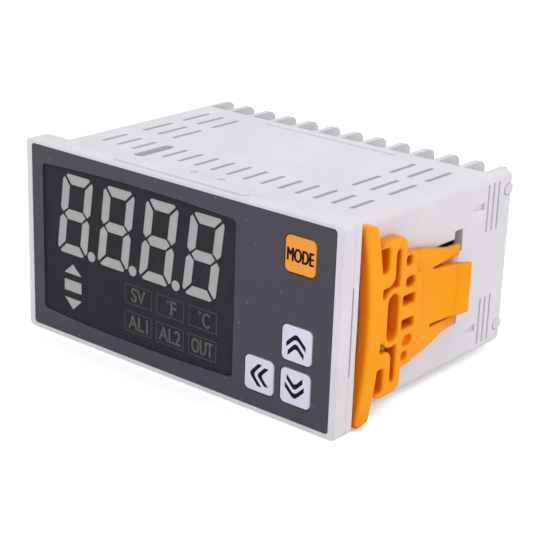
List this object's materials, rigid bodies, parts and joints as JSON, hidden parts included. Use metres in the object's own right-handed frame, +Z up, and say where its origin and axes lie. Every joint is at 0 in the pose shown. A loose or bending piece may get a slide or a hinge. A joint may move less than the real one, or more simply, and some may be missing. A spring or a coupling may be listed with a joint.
{
  "type": "pid temperature controller",
  "caption": "Panel-mount temperature controller: wide front with digit display and keys, vented case, barrier terminals at the rear and two spring side brackets.",
  "frame": {"origin": "centre of the front flange's rear face, the plane that seats on the panel", "axes": "+X to the right seen from the front, +Y rearwards into the panel, +Z up"},
  "size_m": [0.1002, 0.0702, 0.0486],
  "materials": {
    "case_plastic": "fine spark-eroded texture",
    "overlay_film": "fine matt film",
    "smoked_acrylic": "smoked, polished",
    "reflector_plastic": "dark moulded",
    "diffuser_plastic": "milky translucent",
    "orange_key": "satin",
    "white_key": "satin",
    "switch_plastic": "moulded black",
    "circuit_board": "solder resist",
    "core_steel": "laminated",
    "winding_wrap": "polyester tape",
    "capacitor_sleeve": "shrunk sleeve",
    "relay_case": "moulded",
    "plated_steel": "zinc or nickel plated, satin",
    "bracket_plastic": "satin orange"
  },
  "bodies": {
    "controller": {"front_bezel": "case_plastic", "front_overlay": "overlay_film", "display_window": "smoked_acrylic", "display_reflector": "reflector_plastic", "digit_segments": "diffuser_plastic", "status_lamps": "diffuser_plastic", "tact_switches": "switch_plastic", "front_board": "circuit_board", "upper_board": "circuit_board", "lower_board": "circuit_board", "board_headers": "switch_plastic", "microcontroller": "switch_plastic", "transformer_core": "core_steel", "transformer_winding": "winding_wrap", "filter_capacitor": "capacitor_sleeve", "output_relays": "relay_case", "rear_case": "case_plastic", "terminal_block": "case_plastic", "terminal_plates": "plated_steel", "terminal_clamps": "plated_steel", "terminal_screws": "plated_steel"},
    "mode_key": {"key_mode": "orange_key", "switch_button_mode": "switch_plastic"},
    "up_key": {"key_up": "white_key", "switch_button_up": "switch_plastic"},
    "shift_key": {"key_shift": "white_key", "switch_button_shift": "switch_plastic"},
    "down_key": {"key_down": "white_key", "switch_button_down": "switch_plastic"},
    "right_bracket": {"bracket_right": "bracket_plastic"},
    "left_bracket": {"bracket_left": "bracket_plastic"}
  },
  "joints": [
    {"name": "mode_key_press", "type": "slide", "parent": "controller", "child": "mode_key", "axis": [0, 1, 0], "range_m": [0, 0.00035], "stiffness_N_per_m": 900},
    {"name": "up_key_press", "type": "slide", "parent": "controller", "child": "up_key", "axis": [0, 1, 0], "range_m": [0, 0.00035], "stiffness_N_per_m": 900},
    {"name": "shift_key_press", "type": "slide", "parent": "controller", "child": "shift_key", "axis": [0, 1, 0], "range_m": [0, 0.00035], "stiffness_N_per_m": 900},
    {"name": "down_key_press", "type": "slide", "parent": "controller", "child": "down_key", "axis": [0, 1, 0], "range_m": [0, 0.00035], "stiffness_N_per_m": 900},
    {"name": "right_bracket_slide", "type": "slide", "parent": "controller", "child": "right_bracket", "axis": [0, 1, 0], "range_m": [0, 0.0046]},
    {"name": "left_bracket_slide", "type": "slide", "parent": "controller", "child": "left_bracket", "axis": [0, 1, 0], "range_m": [0, 0.0046]}
  ]
}
